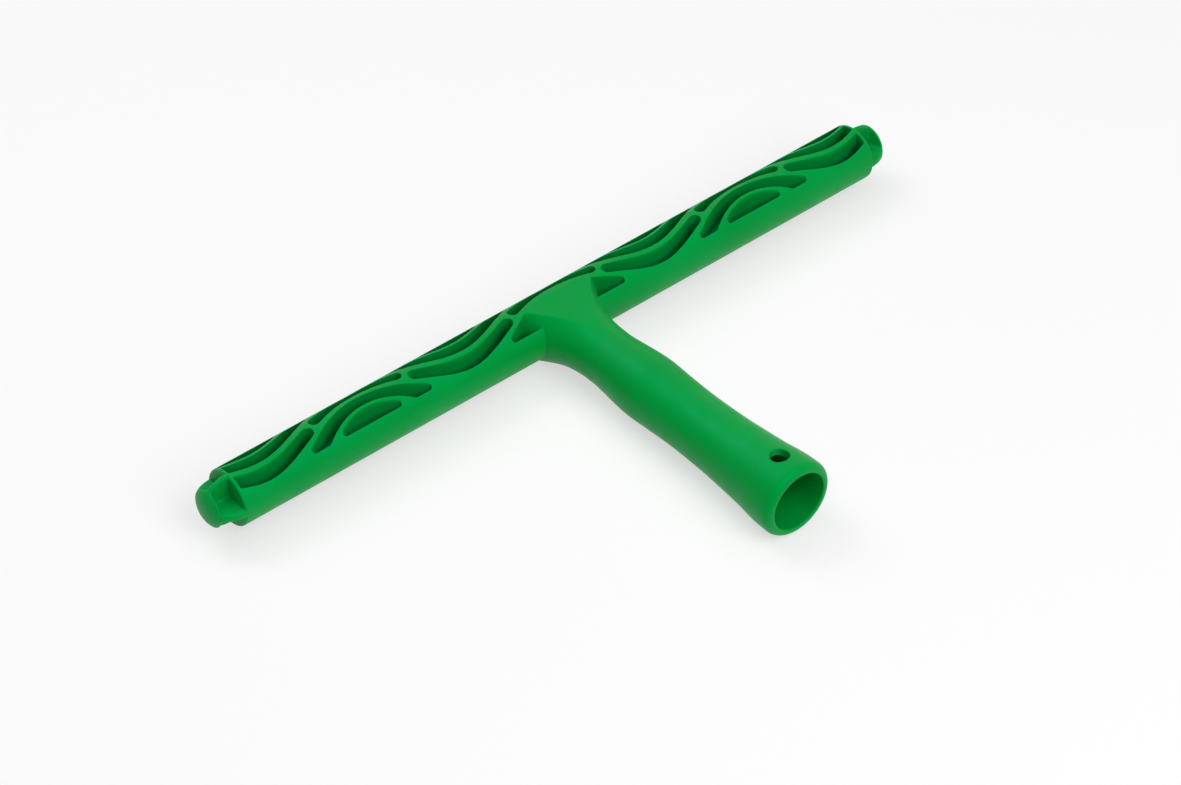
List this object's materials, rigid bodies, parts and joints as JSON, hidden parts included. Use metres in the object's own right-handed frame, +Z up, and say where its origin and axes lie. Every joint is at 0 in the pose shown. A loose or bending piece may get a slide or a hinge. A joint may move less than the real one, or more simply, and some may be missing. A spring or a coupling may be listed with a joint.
{
  "type": "window scrubber t-bar",
  "caption": "T-shaped window scrubber holder: round crossbar with wave-ribbed pockets, notched end plugs and a flared handle with a pole socket.",
  "frame": {"origin": "middle of the handle's open end, on the pole socket's axis", "axes": "+X along the crossbar, +Y from the open end up the handle to the crossbar, +Z up with the tool lying flat"},
  "size_m": [0.35, 0.1557, 0.0328],
  "materials": {
    "green_plastic": "satin moulded"
  },
  "bodies": {
    "root": {"crossbar": "green_plastic", "handle": "green_plastic", "end_plug_left": "green_plastic", "end_plug_right": "green_plastic"}
  },
  "joints": []
}
